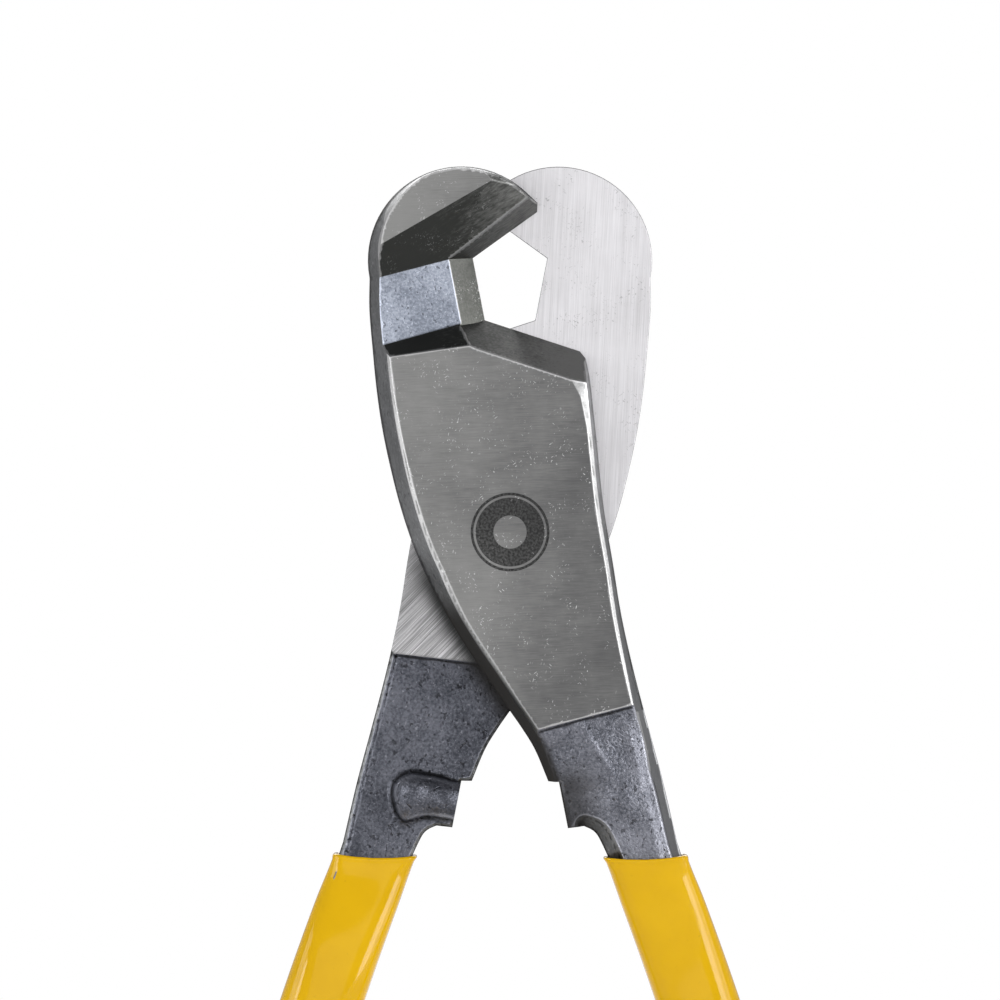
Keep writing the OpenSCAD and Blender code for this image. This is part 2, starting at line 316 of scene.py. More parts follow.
@dataclass
class Plan:
    """A flat triangle mesh that is cut along curves.

    Points nearer to a cut than snap are drawn onto it, and a fixed point within on_line counts as on it.
    """

    points: Array
    faces: Array
    fixed: Array
    snap: float = 0.09
    on_line: float = 0.012
    least_area: float = 1e-4

    @classmethod
    def grid(cls, xs: Array, ys: Array) -> "Plan":
        """Makes a mesh whose lines stand at the given places.

        Args:
            xs: Where its upright lines stand.
            ys: Where its level lines stand.

        Returns:
            The plan, each cell of it split in two, with the split turned from cell to cell.
        """
        gx, gy = np.meshgrid(xs, ys)
        points = np.column_stack([gx.ravel(), gy.ravel()])
        faces = []
        for j in range(len(ys) - 1):
            for i in range(len(xs) - 1):
                a, b = j * len(xs) + i, j * len(xs) + i + 1
                c, d = b + len(xs), a + len(xs)
                faces += [(a, b, c), (a, c, d)] if (i + j) % 2 else [(a, b, d), (b, c, d)]
        return cls(points, np.array(faces), np.zeros(len(points), bool))

    def areas(self) -> Array:
        """Gives each face's area, below zero where a face is turned over."""
        a, b, c = (self.points[self.faces[:, i]] for i in range(3))
        return ((b - a)[:, 0] * (c - a)[:, 1] - (b - a)[:, 1] * (c - a)[:, 0]) / 2

    def pin(self, corners: list[Pair]) -> None:
        """Moves the nearest point onto each corner and keeps it there.

        Args:
            corners: The corners.
        """
        for corner in corners:
            gap = np.hypot(*(self.points - np.array(corner)).T)
            gap[self.fixed] = np.inf
            k = int(np.argmin(gap))
            self.points[k] = corner
            self.fixed[k] = True

    def cut(self, value: Height, shown: Height | None = None) -> None:
        """Cuts the faces along the line where a function is zero.

        Args:
            value: The function, which takes plan points.
            shown: Tells, for plan points, whether the line is needed there. None means everywhere.
        """
        v = value(self.points)
        side = np.sign(v)[self.faces]
        near = np.unique(self.faces[(side.max(1) > 0) & (side.min(1) < 0)])
        if not len(near):
            return
        if shown is not None:
            near = near[shown(self.points[near])]
        pull = gradient(value, self.points[near], 1e-3)
        steep = np.maximum(np.hypot(*pull.T), 1e-6)
        reach = np.abs(v[near]) / steep
        free = (reach < self.snap) & ~self.fixed[near]
        kept = self.points.copy()
        self.points[near[free]] -= pull[free] * (v[near[free]] / steep[free] ** 2)[:, None]
        turned = np.unique(self.faces[self.areas() < self.least_area])
        self.points[turned] = kept[turned]
        free &= ~np.isin(near, turned)
        v[near[free | (self.fixed[near] & (reach < self.on_line))]] = 0
        self.fixed[near] |= v[near] == 0
        side = np.sign(v)
        ends = np.sort(self.faces[:, [0, 1, 1, 2, 2, 0]].reshape(-1, 2), axis=1)
        ends = np.unique(ends[side[ends[:, 0]] * side[ends[:, 1]] < 0], axis=0)
        if shown is not None and len(ends):
            ends = ends[shown(self.points[ends].mean(1))]
        if not len(ends):
            return
        low, high = self.points[ends[:, 0]], self.points[ends[:, 1]]
        start, end = v[ends[:, 0]], v[ends[:, 1]]
        rounds, margin = 5, 0.05
        for _ in range(rounds):
            t = np.clip(start / (start - end), margin, 1 - margin)
            middle = low + (high - low) * t[:, None]
            m = value(middle)
            same = np.sign(m) == np.sign(start)
            low, start = np.where(same[:, None], middle, low), np.where(same, m, start)
            high, end = np.where(same[:, None], high, middle), np.where(same, end, m)
        t = start / np.where(start == end, 1, start - end)
        fresh = {(a, b): len(self.points) + i for i, (a, b) in enumerate(ends.tolist())}
        self.points = np.vstack([self.points, low + (high - low) * t[:, None]])
        self.fixed = np.concatenate([self.fixed, np.ones(len(ends), bool)])
        self._split(side, fresh)

    def _split(self, side: Array, fresh: dict[tuple[int, int], int]) -> None:
        """Puts the points on cut edges into the faces.

        Args:
            side: The sign of the cutting function at each earlier point.
            fresh: The new point on each cut edge.
        """
        s = side[self.faces]
        crossed = (s.max(1) > 0) & (s.min(1) < 0)
        made = []
        for face in self.faces[crossed].tolist():
            for _ in range(3):
                a, b, c = face
                sides = (a, b), (b, c), (c, a)
                on_ab, on_bc, on_ca = (fresh.get((min(side), max(side))) for side in sides)
                if on_bc is not None and (on_ca is None or on_ab is not None):
                    break
                face = [b, c, a]
            if on_bc is None:
                made.append((a, b, c))
            elif on_ab is not None:
                made += [(b, on_bc, on_ab), (a, on_ab, on_bc), (a, on_bc, c)]
            else:
                made += [(a, b, on_bc), (a, on_bc, c)]
        self.faces = np.vstack([self.faces[~crossed], np.array(made).reshape(-1, 3)])

    def keep(self, value: Height) -> None:
        """Cuts along a line and drops one side of it.

        Args:
            value: The function that is zero along the line and below zero on the side to drop.
        """
        self.cut(value)
        self.faces = self.faces[value(self.points[self.faces].mean(1)) > 0]
        used, back = np.unique(self.faces, return_inverse=True)
        self.faces = back.reshape(-1, 3)
        self.points, self.fixed = self.points[used], self.fixed[used]

    def rim(self) -> Array:
        """Finds the edges round the outside and round holes.

        Returns:
            The two ends of each edge, with the mesh to its left.
        """
        ends = self.faces[:, [0, 1, 1, 2, 2, 0]].reshape(-1, 2)
        seen = {tuple(e) for e in ends.tolist()}
        return np.array([e for e in ends.tolist() if (e[1], e[0]) not in seen])


def solid(name: str, points: Array, faces: list[tuple], place: Matrix) -> bpy.types.Object:
    """Makes an object of a mesh.

    Args:
        name: The piece's name.
        points: Its points in the closed tool's millimetres.
        faces: The points of each face.
        place: Takes the closed tool's millimetres to the frame.

    Returns:
        The piece, in the scene.
    """
    mesh = bpy.data.meshes.new(name)
    placed = points @ np.array(place.to_3x3()).T + np.array(place.translation)
    mesh.from_pydata(placed.tolist(), [], faces)
    piece = bpy.data.objects.new(name, mesh)
    bpy.context.scene.collection.objects.link(piece)
    return piece


# ---------------------------------------------------------------- the forging


@dataclass
class Forging:
    """One half of the cutter: its outline, its ground outer side and its flat shear side."""

    head_t: float = 9.0
    shear_gap: float = 0.06
    parting: float = 1.2
    shoulder: float = 8.4
    plateau_low: float = 31.6
    shear_low: float = 22.1
    crown: Pair = (0.7, 44.1)
    crown_r: float = 15.0
    mouth_x: float = 2.5
    mouth_low: float = 34.0
    mouth_top: float = 44.1
    heel: Pair = (16.5, 26.2)
    tip_low: Pair = (14.0, 49.4)
    tip_high: Pair = (14.35, 50.8)
    upper_edge_angle: float = 25.0
    lower_edge_angle: float = 29.0
    land_h: float = 5.4
    edge_land: float = 0.3
    upper_land_w: float = 2.2
    wall_land_w: float = 4.1
    lower_land_w: float = 4.9
    boss_top: float = 40.6
    boss_low: float = 48.2
    boss_r: float = 3.4
    boss_h: float = 4.0
    boss_w: float = 10.5
    lug_t: float = 4.0
    grip_x: float = 11.3
    grip_y: float = 54.8
    grip_lean: float = 10.4
    end_lean: float = 4.0
    bow_r: float = 500.0
    neck_w: float = 11.1
    neck_t: float = 7.0
    tang_w: float = 9.2
    tang_t: float = 8.0
    set_len: float = 22.0
    grip_end: float = 9.0
    ledge_w: float = 1.3
    ledge_z: float = 4.2
    stud_bore: float | None = None
    counterbore: float | None = None
    counterbore_depth: float = 2.6
    blind_bore: float | None = None
    blind_depth: float = 6.0
    cell: float = 0.42

    def __post_init__(self) -> None:
        """Works out the bow of the handle and the sides of the outline."""
        lean = math.radians(self.grip_lean)
        self.bow_c = (self.grip_x - self.bow_r * math.cos(lean), -self.grip_y - self.bow_r * math.sin(lean))
        self.arc_deg = 180 / (math.pi * self.bow_r)
        self.forged_back = self.shear_gap / 2 + 0.4
        self.set_top = 4 - self.grip_y
        self.set_low = -self.grip_y - self.set_len
        self.inner = Line(self.inner_side())
        self.outer = Line(self.outer_side())
        flank, notch = self.flank(), self.notch()
        below_stop = [(-1.2, -44.0), (-1.0, -50.0), (-1.0, -60.0)]
        self.wall = Line(np.vstack([flank, below_stop]))
        self.ledge = Line(np.vstack([notch, self.handle_edge(-1)]))
        loop = np.vstack([self.inner.points, self.outer.points[::-1], [self.heel], self.mouth()])
        self.loop = Line(np.vstack([loop, loop[:1]]))

    def handle_edge(self, side: int) -> Array:
        """Follows one edge of the bowed handle, from the mouth of the grip to the tang's end.

        Args:
            side: 1 for the outer edge and -1 for the inner one.

        Returns:
            The edge's points.
        """
        start = self.grip_lean
        a = np.linspace(start, -self.end_lean + self.grip_end * self.arc_deg, 14)
        neck = start - self.set_len * self.arc_deg
        share = np.clip((a - neck) / (start - neck), 0, 1)
        half = self.tang_w / 2 + (self.neck_w - self.tang_w) / 2 * share
        r, a = self.bow_r + side * half, np.radians(a)
        return np.column_stack([self.bow_c[0] + r * np.cos(a), self.bow_c[1] + r * np.sin(a)])

    def flank(self) -> Array:
        """Follows the outline from the hook's tip over the crown and down the inner side to the stop.

        Returns:
            The line's points.
        """
        crown = circle_arc(self.crown, self.crown_r, 34, 180, 30)
        side = smooth_through([
            tuple(crown[-1]), (-15.3, 39.1), (-16.0, 32.8), (-16.6, 26.4), (-16.9, 20.0), (-16.8, 13.5),
            (-16.4, 7.0), (-15.5, 0.3), (-14.0, -6.0), (-12.0, -12.3), (-9.9, -17.8), (-7.2, -24.0),
            (-5.6, -27.8), (-4.1, -31.2), (-2.7, -35.0), (-1.6, -40.3),
        ], 1.0)
        return np.vstack([[self.tip_high], crown[:-1], side])

    def notch(self) -> Array:
        """Follows the hollow below the stop face, down to the mouth of the grip."""
        knots = [(2.6, -48.4), (4.2, -49.7), (5.1, -52.4), tuple(self.handle_edge(-1)[0])]
        return smooth_through(knots)[:-1]

    def inner_side(self) -> Array:
        """Follows the outline from the hook's tip down the inner side to the tang's end."""
        stop = [(0.05, -self.boss_top), (0.05, -self.boss_low)]
        return np.vstack([self.flank(), stop, self.notch(), self.handle_edge(-1)])

    def outer_side(self) -> Array:
        """Follows the outline from below the heel down the outer side to the tang's end.

        Returns:
            The line's points.
        """
        edge = self.handle_edge(1)
        flank = smooth_through([
            (17.15, 24.9), (17.2, 22.0), (16.9, 18.0), (16.25, 10.4), (15.65, 4.0), (15.35, -1.0),
            (15.2, -8.0), (14.95, -15.0), (15.0, -21.0), (15.3, -28.0), (15.85, -36.0), (16.4, -44.0),
            tuple(edge[0]),
        ], 1.2)
        return np.vstack([flank[:-1], edge])

    def mouth(self) -> Array:
        """Gives the corners of the cutting edges, from the lower one to the hook's tip."""
        return np.array([(self.mouth_x, self.mouth_low), (self.mouth_x, self.mouth_top), self.tip_low])

    def corners(self) -> list[Pair]:
        """Lists the outline's sharp corners."""
        return [self.heel, *map(tuple, self.mouth()), self.tip_high, (0.05, -self.boss_top),
                (0.05, -self.boss_low), (-1.6, -40.3), tuple(self.inner.points[-1]),
                tuple(self.outer.points[-1]), tuple(self.outer.points[0])]

    def station(self, p: Array) -> Array:
        """Tells how far round the inner side each point lies.

        Args:
            p: The points.

        Returns:
            Its y below the crown, and beyond that the crown's y and the degrees turned from its left end.
        """
        cx, cy = self.crown
        turned = 180 - np.degrees(np.arctan2(p[:, 1] - cy, p[:, 0] - cx))
        return np.where(p[:, 1] > cy, cy + turned, p[:, 1])

    def inner_wall(self) -> Surface:
        """Shapes the drafted side round the inner side, the lug's thin rim and the ledge at the neck.

        Returns:
            The lowest of the three, joined.
        """
        places = [-42, -35, -28, -20, -12, -4, 20, 43.9, 80, 120, 150, 200]
        widths = [1.6, 1.6, 1.6, 1.7, 1.7, 2.2, 2.3, 2.2, 1.4, 0.4, 0.4, 0.6]
        rises = (self.shoulder - self.parting) / np.array(widths)

        def side(p: Array) -> Array:
            """The drafted side."""
            return self.parting + self.wall.away(p) * np.interp(self.station(p), places, rises)

        def rim(p: Array) -> Array:
            """The lug's thin rim."""
            return 3.0 + 6.0 * self.loop.away(p) + 20 * ease(p[:, 1], -40.9, -39.5)

        def ledge(p: Array) -> Array:
            """The ledge at the neck."""
            d = self.ledge.away(p)
            return np.maximum(self.parting + 2.3 * d, self.ledge_z + 4 * (d - self.ledge_w - 0.2))

        wall = under(Face(side, Skin.DRAFT), Face(rim, Skin.FORGED), 0.2)
        return under(wall, Face(ledge, Skin.DRAFT), 0.4)

    def outer_wall(self) -> Surface:
        """Shapes the drafted side along the outer side, with its trimmed band and the ledge of the handle.

        Returns:
            The joined surface.
        """
        places = [-60, -44, -22, -10, 24]
        rises = [2.3, 2.4, 7.4, 10.0, 11.0]
        line = self.outer

        def wall(p: Array) -> Array:
            """The drafted side."""
            return self.parting + line.away(p) * np.interp(p[:, 1], places, rises)

        def above_ledge(p: Array) -> Array:
            """The wall above the ledge."""
            return self.ledge_z + 5 * (line.away(p) - self.ledge_w)

        def trimmed(p: Array) -> Array:
            """A band that lies on the wall beside the ground face."""
            return wall(p) + 0.02 - 5 * ease(p[:, 1], -32, -30)

        side = over(Face(wall, Skin.DRAFT), Face(trimmed, Skin.FLASH), 0.01)
        return over(side, Face(above_ledge, Skin.FORGED), 0.2)

    def edge_bevels(self) -> tuple[Surface, Surface]:
        """Shapes the ground bevels between the sides and the ground face.

        Returns:
            The inner bevel and the outer one.
        """
        inner, outer = self.wall, self.outer
        places = [-31, -26, -20, -12, -4, 20, 43.9, 80, 120, 150, 200]
        widths = [1.7, 1.7, 1.7, 1.7, 2.2, 2.3, 2.2, 1.4, 0.4, 0.4, 0.6]
        bevels = [0.35, 0.4, 0.6, 0.7, 0.75, 0.6, 0.3, 0.2, 0.16, 0.16, 0.16]
        drop = self.head_t - self.shoulder

        def inner_bevel(p: Array) -> Array:
            """The bevel along the inner side."""
            s = self.station(p)
            return self.shoulder + (inner.away(p) - np.interp(s, places, widths)) * (
                drop / np.interp(s, places, bevels))

        def outer_bevel(p: Array) -> Array:
            """The bevel along the outer side, which widens towards the heel."""
            width = np.interp(p[:, 1], [-31, -10, 14, 19, 22.5], [0.7, 0.6, 0.65, 1.2, 2.6])
            start = np.interp(p[:, 1], [-31, -10], [0.95, 0.68])
            return self.shoulder + (outer.away(p) - start) * drop / width

        return Face(inner_bevel, Skin.BEVEL), Face(outer_bevel, Skin.BEVEL)

    def handle_mid(self, y: Array) -> Array:
        """Height of the handle's middle, which comes back to the middle of the tool inside the grip."""
        return (self.neck_t + self.forged_back) / 2 * (1 - ease(-y, -self.set_top, -self.set_low))

    def handle_half_t(self, y: Array) -> Array:
        """Half the handle's thickness."""
        neck = self.neck_t - self.forged_back
        return (neck + (self.tang_t - neck) * ease(-y, -self.set_top, -self.set_low)) / 2

    def handle_front(self) -> Face:
        """Shapes the forged outer side of the handle, with the swells and the fold that the die leaves.

        Returns:
            The face. Each swell has a centre, its reach across and along, and its lift.
        """
        fold, fold_h, fold_w = Line(np.array([(5.3, -32.2), (6.6, -36.0), (8.7, -41.0)])), 0.16, 0.6
        shoulder_h, outer_drop, inner_drop, inner_w = 1.5, 1.5, 1.6, 4.0
        swells = [(9.6, -45.0, 2.6, 3.4, 0.75), (6.0, -36.5, 2.2, 4.5, 0.3),
                  (11.5, -37.0, 2.0, 3.4, -0.35), (11.0, -51.5, 2.6, 3.0, -0.2)]

        def formula(p: Array) -> Array:
            """The height over plan points."""
            x, y = p.T
            z = self.handle_mid(y) + self.handle_half_t(y)
            z = z + shoulder_h * (1 - ease(-y, self.plateau_low - 2, -self.set_top))
            for across, along, reach_x, reach_y, lift in swells:
                z = z + lift * np.exp(-(((x - across) / reach_x) ** 2) - ((y - along) / reach_y) ** 2)
            z = z + fold_h * bell(fold.away(p), fold_w)
            low = ease(-y, 31, 37)
            return (z - outer_drop * low * (1 - ease(self.outer.away(p), 1.0, 4.4)) ** 2
                    - inner_drop * low * bell(self.wall.away(p), inner_w))

        return Face(formula, Skin.FORGED)

    def lug(self) -> Surface:
        """Shapes the lug's outer side, which sinks towards the stop face and runs softly into the handle.

        Returns:
            The face, which climbs clear of everything above the lug and below it.
        """
        fall, rise, clear = 0.6, 9, 30

        def formula(p: Array) -> Array:
            """The height over plan points."""
            x, y = p.T
            return (self.lug_t + fall * x + rise * ease(y, -43.5, -34) + clear * ease(y, -35, -27)
                    + rise * ease(-y, 48, 54))

        return Face(formula, Skin.FORGED)

    def hollow(self) -> Surface:
        """Shapes the hollow of the jaw: the hook's long bevel, the sand-rough floor and the heel below it.

        Returns:
            The joined surface. Each plane starts on a line at a height and climbs at an angle.
        """
        upper = slope((0, 52.8), 19, self.head_t, 28, Skin.CUT)
        nose = slope((7.4, 56.4), 118, self.head_t, 30, Skin.CUT)
        floor = slope((-1.6, self.mouth_low), 90, self.land_h - 0.3, 8, Skin.BLASTED)
        heel = slope((0, self.mouth_low - 3.7), -3, self.head_t, -46.5, Skin.CUT)
        return under(over(over(upper, floor, 0.12), heel, 0.3), nose, 0.2)

    def funnel(self) -> Surface:
        """Shapes the steep bevels behind the mouth's edges, with the corner between the lower two.

        Returns:
            The joined surface.
        """
        rise, full_rise = self.land_h - self.edge_land, self.head_t - self.edge_land
        mouth_low = (self.mouth_x, self.mouth_low)

        def climb(height: float, width: float) -> float:
            """The angle in degrees of a slope."""
            return math.degrees(math.atan(height / width))

        steep = slope((self.mouth_x, self.mouth_top), self.upper_edge_angle, self.edge_land,
                      climb(rise, self.upper_land_w), Skin.CUT)
        land = slope(mouth_low, 90, self.edge_land, climb(rise, self.wall_land_w), Skin.LAND)
        low = slope(mouth_low, -self.lower_edge_angle, self.edge_land,
                    -climb(full_rise, self.lower_land_w), Skin.CUT)
        corner = slope((0, 29.7), -43, self.head_t, -61.8, Skin.CUT)
        return over(over(steep, land, 0.06), over(low, corner, 0.5), 0.1)

    def front(self) -> Surface:
        """Joins the outer side: ground face, bevels, drafted walls, jaw, handle and lug.

        Returns:
            The joined surface.
        """
        step = slope((0, -self.plateau_low), 3.7, self.head_t, 55, Skin.FORGED)
        body = over(self.handle_front(), under(flat(self.head_t, Skin.GROUND), step, 0.05), 0.08)
        for bevel in self.edge_bevels():
            body = under(body, bevel, 0.06)
        body = under(body, self.lug(), 1.6)
        body = under(body, self.inner_wall(), 0.35)
        body = under(body, self.outer_wall(), 0.35)
        body = under(under(body, self.hollow(), 0.08), self.funnel(), 0.05)
        if self.counterbore:
            floor = self.head_t - self.counterbore_depth
            body = under(body, self.well(self.counterbore / 2, floor, self.head_t + CLEAR), 0.05)
        return body

    @staticmethod
    def well(radius: float, floor: float, top: float) -> Face:
        """Shapes a round pocket about the pivot.

        Args:
            radius: Its radius.
            floor: The height of its floor.
            top: A height past the side that it opens on.

        Returns:
            The face: the floor within the radius and a near-upright wall at it.
        """
        sheer = 150.0

        def formula(p: Array) -> Array:
            """The height over plan points."""
            climb = sheer * (np.hypot(*p.T) - radius)
            return np.clip(floor + climb * np.sign(top - floor), min(floor, top), max(floor, top))

        return Face(formula, Skin.CUT)

    def rear(self) -> Surface:
        """Joins the shear side: ground face, forged flat, the handle's rim, stop boss and blind bore.

        Returns:
            The joined surface.
        """
        gap = self.shear_gap / 2
        forged = Face(lambda p: self.handle_mid(p[:, 1]) - self.handle_half_t(p[:, 1]), Skin.FORGED)
        step = slope((8, -self.shear_low), -4.6, gap, -50, Skin.FORGED)
        body = under(forged, over(flat(gap, Skin.SHEAR), step, 0.02), 0.03)
        outer, loop = self.outer, self.loop

        def rim(p: Array) -> Array:
            """The rounded rim of the handle."""
            handle = ease(-p[:, 1], self.shear_low, self.shear_low + 1)
            return forged.formula(p) - 0.4 * (1 - handle) + (0.08 + 0.4 * handle - loop.away(p)) * 0.9

        def seam(p: Array) -> Array:
            """The groove beside the parting line."""
            handle = ease(-p[:, 1], self.shear_low, self.shear_low + 1)
            return forged.formula(p) - 1 + handle * (1.16 - 2 * ((outer.away(p) - 0.95) / 1.1) ** 2)

        def boss(p: Array) -> Array:
            """The stop boss, a dome that runs out to the stop face."""
            x, y = p.T
            beyond = np.maximum(x - self.boss_w + self.boss_r, 0)
            off = y + self.boss_top + 3.1
            corner = ease(y, -41.3, -40.4) * (1 - ease(x, 1.5, 2.8))
            upper, lower = 0.85, 0.95 + 0.5 * bell(x - 8.2, 2.6)
            out = np.hypot(beyond, off / np.where(off > 0, upper, lower))
            dome = np.sqrt(np.maximum(self.boss_r**2 - out**2, 0))
            saddle = 0.5 * bell(x - 4.6, 1.5) + 0.3 * bell(x, 0.9)
            top = self.boss_r - self.boss_h - dome + saddle + 3 * corner
            return top + 2.2 * np.maximum(out - self.boss_r, 0)

        body = over(body, Face(rim, Skin.DRAFT), 0.04)
        body = over(body, Face(seam, Skin.FORGED), 0.03)
        body = under(body, Face(boss, Skin.FORGED), 1.5)
        if self.blind_bore:
            body = over(body, self.well(self.blind_bore / 2, self.blind_depth, -CLEAR), 0.05)
        return body

    def side_of(self, p: Array) -> Array:
        """Gives the distance inside the outline, below zero outside it."""
        return self.loop.away(p) * np.where(inside(self.loop.points, p), 1, -1)

    def plan(self, front: Surface, rear: Surface) -> Plan:
        """Makes the plan mesh and cuts it along the outline, the bore and every visible crease.

        Args:
            front: The outer side.
            rear: The shear side.

        Returns:
            The plan.
        """
        seen_within = 0.3
        low, high = self.loop.points.min(0) - 1, self.loop.points.max(0) + 1
        fine = np.arange(self.set_low, high[1], self.cell)
        coarse = np.arange(self.set_low, low[1], -4 * self.cell)[:0:-1]
        plan = Plan.grid(np.arange(low[0], high[0], self.cell), np.concatenate([coarse, fine]))
        plan.pin(self.corners())
        plan.keep(self.side_of)
        if self.stud_bore:
            plan.keep(lambda p: np.hypot(*p.T) - self.stud_bore / 2)
        for side in (front, rear):
            for crease in side.creases():
                plan.cut(crease.value,
                         lambda p, c=crease, s=side: np.abs(s.height(p) - c.height(p)) < seen_within)
        return plan

    def build(self, name: str, place: Matrix, finishes: dict[Skin, Material]) -> bpy.types.Object:
        """Builds the half as one closed mesh.

        Args:
            name: The piece's name.
            place: Takes the closed tool's millimetres to the frame.
            finishes: The material of each skin.

        Returns:
            The piece.
        """
        front, rear = self.front(), self.rear()
        plan = self.plan(front, rear)
        n, p = len(plan.points), plan.points
        rim = plan.rim()
        faces = [tuple(f) for f in plan.faces.tolist()]
        faces += [(c + n, b + n, a + n) for a, b, c in plan.faces.tolist()]
        faces += [(a + n, b + n, b, a) for a, b in rim.tolist()]
        corners = np.vstack([np.column_stack([p, side.height(p)]) for side in (front, rear)])
        piece = solid(name, corners, faces, place)
        mesh = piece.data
        for material in finishes.values():
            mesh.materials.append(material)
        order = {skin: i for i, skin in enumerate(finishes)}
        middle, edge = p[plan.faces].mean(1), p[rim].mean(1)
        beside = 0.2
        mouth = Line(np.vstack([[self.heel], self.mouth(), [self.tip_high]])).away(edge) < beside
        skins = [*front.skins(middle), *rear.skins(middle), *np.where(mouth, Skin.CUT, Skin.DRAFT)]
        mesh.polygons.foreach_set("material_index", [order[k] for k in skins])
        mesh.polygons.foreach_set("use_smooth", [True] * len(faces))
        up, down = self.normals(front, p, 1), self.normals(rear, p, -1)
        corner = np.vstack([up[plan.faces].reshape(-1, 3), down[plan.faces[:, ::-1]].reshape(-1, 3),
                            self.rim_normals(p, rim).reshape(-1, 3)])
        turn = np.array(place.to_3x3().normalized())
        mesh.normals_split_custom_set((corner @ turn.T).tolist())
        # above zero on edges, where the materials show wear, and below zero in corners, where the forged
        # skin gets painted shade
        self.store(mesh, "wear_and_crevice_shade", self.wear_and_crevice_shade(front, p, 1), self.wear_and_crevice_shade(rear, p, -1))
        # painted shade for the outer side and painted shadow for the shear side, which the materials darken
        # towards black
        self.store(mesh, "painted_shade", self.painted_shade(p), self.painted_shadow(p))
        log.info("%s: %d points, %d faces", name, 2 * n, len(faces))
        return piece

    @staticmethod
    def store(mesh: bpy.types.Mesh, name: str, above: Array, below: Array) -> None:
        """Stores a number at each point of the front copy and then of the rear copy."""
        held = mesh.attributes.new(name, "FLOAT", "POINT")
        held.data.foreach_set("value", np.concatenate([above, below]).astype(np.float32))

    def painted_shade(self, p: Array) -> Array:
        """Paints shade on the outer side's lower inner wall and lug, and darkens the crown's thin wall.

        Args:
            p: The points.

        Returns:
            A share of painted shade from 0 to 1 at each point.
        """
        x, y = p.T
        wall = ease(-y, 2, 13) * (1 - ease(self.wall.away(p), 1.5, 2.6)) * 0.97
        lug = ease(-y, 36, 42) * ease(-y, 58, 50) * (1 - ease(x, 1.5, 8.5)) * 0.75
        crown = ease(y, 46, 54) * (1 - ease(self.wall.away(p), 0.45, 0.7)) * 0.5
        return np.maximum(np.maximum(wall, lug), crown)

    def painted_shadow(self, p: Array) -> Array:
        """Paints shadow on the shear side where the other half's inner wall stands over it when open.

        Args:
            p: The points.

        Returns:
            A share of painted shadow from 0 to 1 at each point.
        """
        turn, width, most = math.radians(-22), 2.2, 0.95
        x, y = -p[:, 0], p[:, 1]
        q = np.column_stack([x * math.cos(turn) - y * math.sin(turn),
                             x * math.sin(turn) + y * math.cos(turn)])
        return bell(self.wall.away(q), width) * ease(-q[:, 1], -6, 8) * most

    @staticmethod
    def normals(side: Surface, p: Array, facing: int) -> Array:
        """Finds the direction that a side faces.

        Args:
            side: The side.
            p: Its points.
            facing: 1 towards the front and -1 towards the rear.

        Returns:
            One direction a point.
        """
        out = np.column_stack([-gradient(side.height, p, 0.004), np.ones(len(p))]) * facing
        return out / np.linalg.norm(out, axis=1)[:, None]

    @staticmethod
    def rim_normals(p: Array, rim: Array) -> Array:
        """Finds the directions of the rim, smoothed where the outline is smooth.

        Args:
            p: The points.
            rim: The two ends of each rim face.

        Returns:
            The direction at the four corners of each rim face.
        """
        alike = 0.85
        along = p[rim[:, 1]] - p[rim[:, 0]]
        length = np.maximum(np.hypot(*along.T), 1e-9)
        own = np.column_stack([along[:, 1], -along[:, 0]]) / length[:, None]
        before = {b: i for i, (a, b) in enumerate(rim.tolist())}
        after = {a: i for i, (a, b) in enumerate(rim.tolist())}
        corner = np.zeros((len(rim), 4, 3))
        for i, (a, b) in enumerate(rim.tolist()):
            for slots, other in (((0, 3), before.get(a, i)), ((1, 2), after.get(b, i))):
                both = own[i] + own[other] if own[i] @ own[other] > alike else own[i]
                for k in slots:
                    corner[i, k, :2] = both / np.linalg.norm(both)
        return corner

    @staticmethod
    def wear_and_crevice_shade(side: Surface, p: Array, facing: int) -> Array:
        """Tells how far each point stands out from its surroundings.

        Args:
            side: The side.
            p: Its points.
            facing: 1 towards the front and -1 towards the rear.

        Returns:
            A number from -1 to 1 at each point: above 0 on edges and below 0 in corners.
        """
        reach, full = 0.35, 0.12
        ring = circle_arc((0, 0), reach, 0, 315, 7)
        around = np.mean([side.height(p + r) for r in ring], axis=0)
        return np.clip((side.height(p) - around) * facing / full, -1, 1)


# ---------------------------------------------------------------- material nodes


class Signal:
    """One value in a material's nodes, with the arithmetic of plain numbers."""

    def __init__(self, paint: "Paint", socket: Socket) -> None:
        """Wraps an output socket of a paint's nodes."""
        self.paint = paint
        self.socket = socket

    def __add__(self, other: "Signal | float") -> "Signal":
        """Adds."""
        return self.paint.math("ADD", self, other)

    __radd__ = __add__

    def __sub__(self, other: "Signal | float") -> "Signal":
        """Takes away."""
        return self.paint.math("SUBTRACT", self, other)

    def __rsub__(self, other: float) -> "Signal":
        """Takes this value away from a number."""
        return self.paint.math("SUBTRACT", other, self)

    def __mul__(self, other: "Signal | float") -> "Signal":
        """Multiplies."""
        return self.paint.math("MULTIPLY", self, other)

    __rmul__ = __mul__

    def __abs__(self) -> "Signal":
        """Drops the sign."""
        return self.paint.math("ABSOLUTE", self)

    def ramp(self, low: float, high: float) -> "Signal":
        """Goes smoothly from 0 to 1.

        Args:
            low: Where it is 0.
            high: Where it is 1.

        Returns:
            The eased value.
        """
        node = self.paint.node("ShaderNodeMapRange", {"interpolation_type": "SMOOTHSTEP"},
                               {"Value": self, "From Min": low, "From Max": high})
        return Signal(self.paint, node.outputs["Result"])


Feed = Signal | Socket | float | tuple


